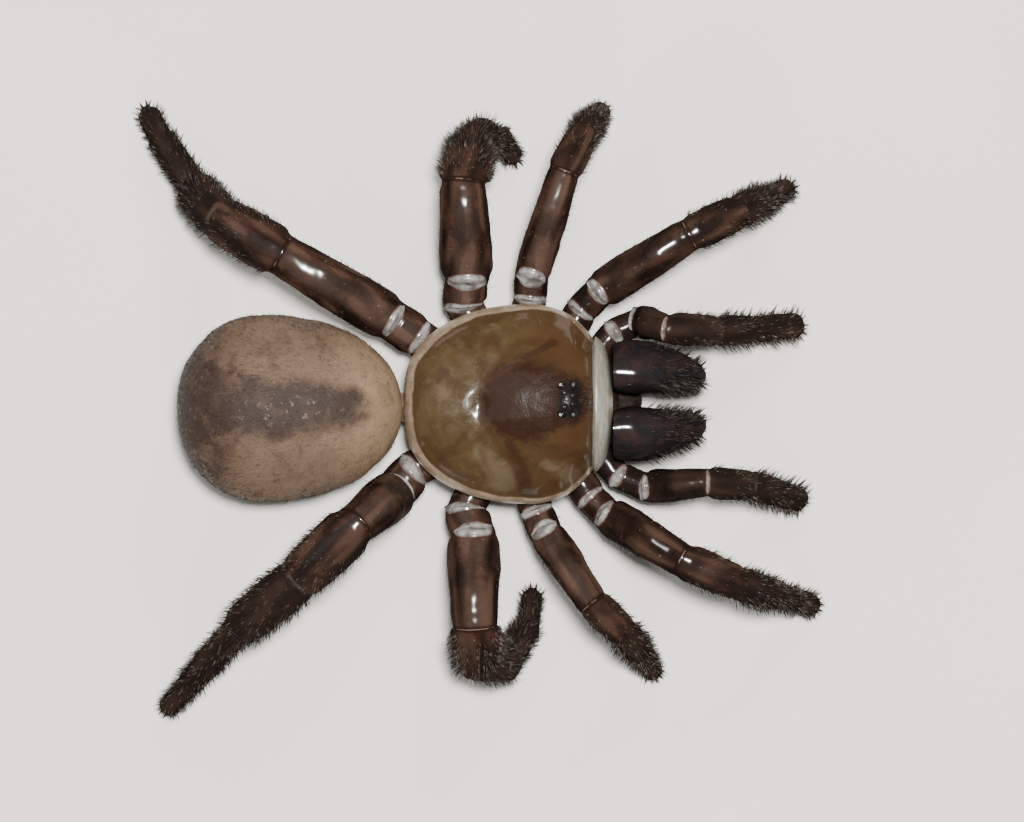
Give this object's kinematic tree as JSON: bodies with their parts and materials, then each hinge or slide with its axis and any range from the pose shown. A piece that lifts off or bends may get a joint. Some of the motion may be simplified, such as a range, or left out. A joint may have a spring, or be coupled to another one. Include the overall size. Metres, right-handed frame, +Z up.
{
  "type": "trapdoor spider",
  "caption": "Still, life-size model of a large dark trapdoor spider standing with its legs spread, with glossy limbs and a velvety abdomen.",
  "frame": {"origin": "middle of the model's box, on the floor that the feet stand on", "axes": "+X towards the head, +Y towards the animal's left, +Z up"},
  "size_m": [0.0424, 0.0384, 0.0111],
  "materials": {
    "shield": "gloss",
    "membrane": "satin",
    "underside": "satin",
    "abdomen": "matte",
    "jaw": "gloss",
    "cuticle": "gloss",
    "eye": "gloss"
  },
  "bodies": {
    "root": {"carapace": "shield", "frontal_membrane": "membrane", "sternum": "underside", "labium": "underside", "pedicel": "underside", "abdomen": "abdomen", "spinneret_posterior_left": "underside", "spinneret_posterior_right": "underside", "spinneret_median_left": "underside", "spinneret_median_right": "underside", "chelicera_left": "jaw", "fang_left": "jaw", "chelicera_right": "jaw", "fang_right": "jaw", "palp_left_upper": "cuticle", "palp_left_lower": "cuticle", "palp_right_upper": "cuticle", "palp_right_lower": "cuticle", "leg_1_left_upper": "cuticle", "leg_1_left_lower": "cuticle", "leg_1_right_upper": "cuticle", "leg_1_right_lower": "cuticle", "leg_2_left_upper": "cuticle", "leg_2_left_lower": "cuticle", "leg_2_right_upper": "cuticle", "leg_2_right_lower": "cuticle", "leg_3_left_upper": "cuticle", "leg_3_left_lower": "cuticle", "leg_3_right_upper": "cuticle", "leg_3_right_lower": "cuticle", "leg_4_left_upper": "cuticle", "leg_4_left_lower": "cuticle", "leg_4_right_upper": "cuticle", "leg_4_right_lower": "cuticle", "eye_anterior_median_left": "eye", "eye_anterior_median_right": "eye", "eye_anterior_lateral_left": "eye", "eye_anterior_lateral_right": "eye", "eye_posterior_median_left": "eye", "eye_posterior_median_right": "eye", "eye_posterior_lateral_left": "eye", "eye_posterior_lateral_right": "eye"}
  },
  "joints": []
}
